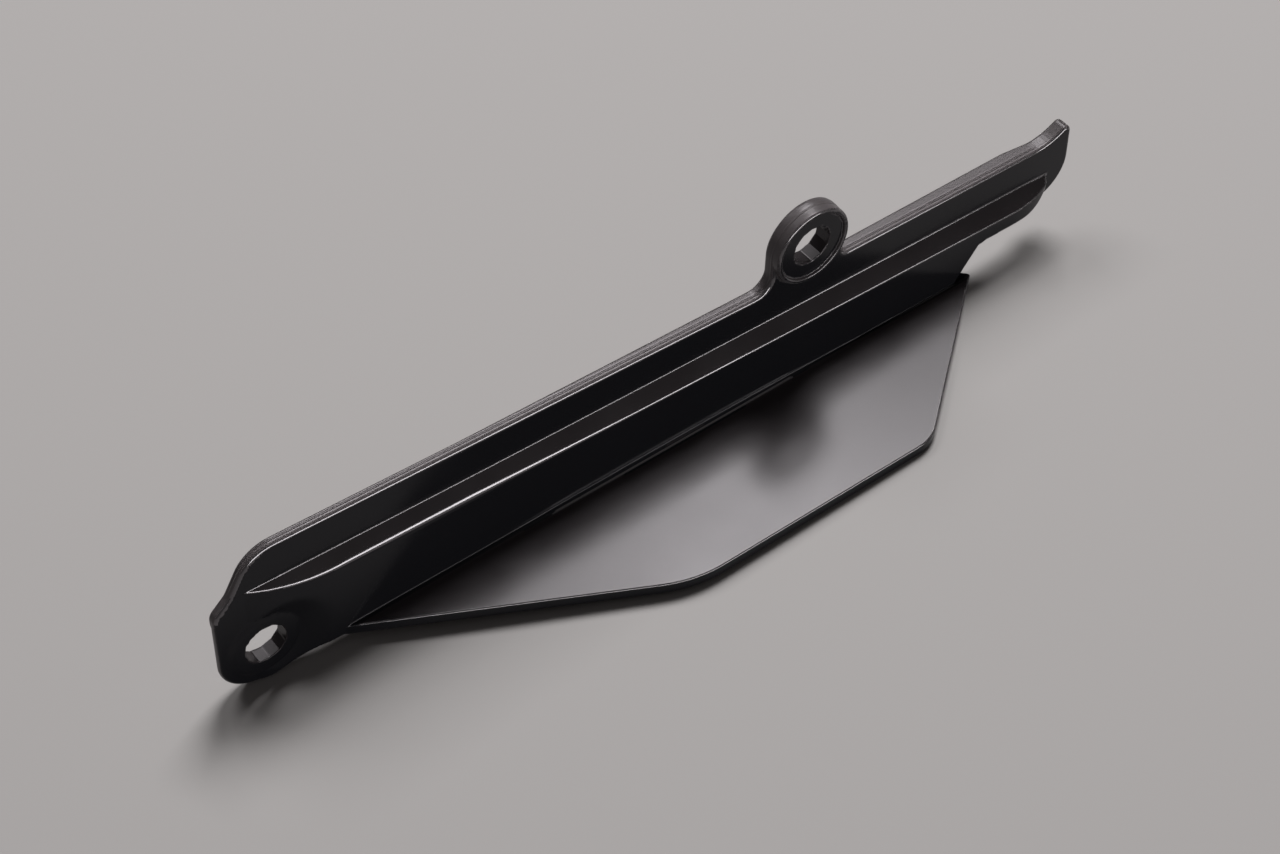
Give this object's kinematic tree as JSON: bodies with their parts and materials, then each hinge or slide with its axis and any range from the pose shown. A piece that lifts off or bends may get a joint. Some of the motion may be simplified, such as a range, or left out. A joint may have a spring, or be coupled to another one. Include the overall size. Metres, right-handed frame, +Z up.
{
  "type": "motorcycle chain slider",
  "caption": "One-piece moulded chain guard: long upright wall with a raised lower panel, a flat outer fin along its foot and bored mounting bosses.",
  "frame": {"origin": "on the front bore's axis, at the wall's front plane", "axes": "+X along the fin towards the narrow upturned tip, +Y through the wall away from the fin's side, +Z up along the wall"},
  "size_m": [0.2798, 0.0498, 0.0619],
  "materials": {
    "moulded_plastic": "moulded black polypropylene, semi-gloss wall and satin fin"
  },
  "bodies": {
    "root": {"chain_slider": "moulded_plastic"}
  },
  "joints": []
}
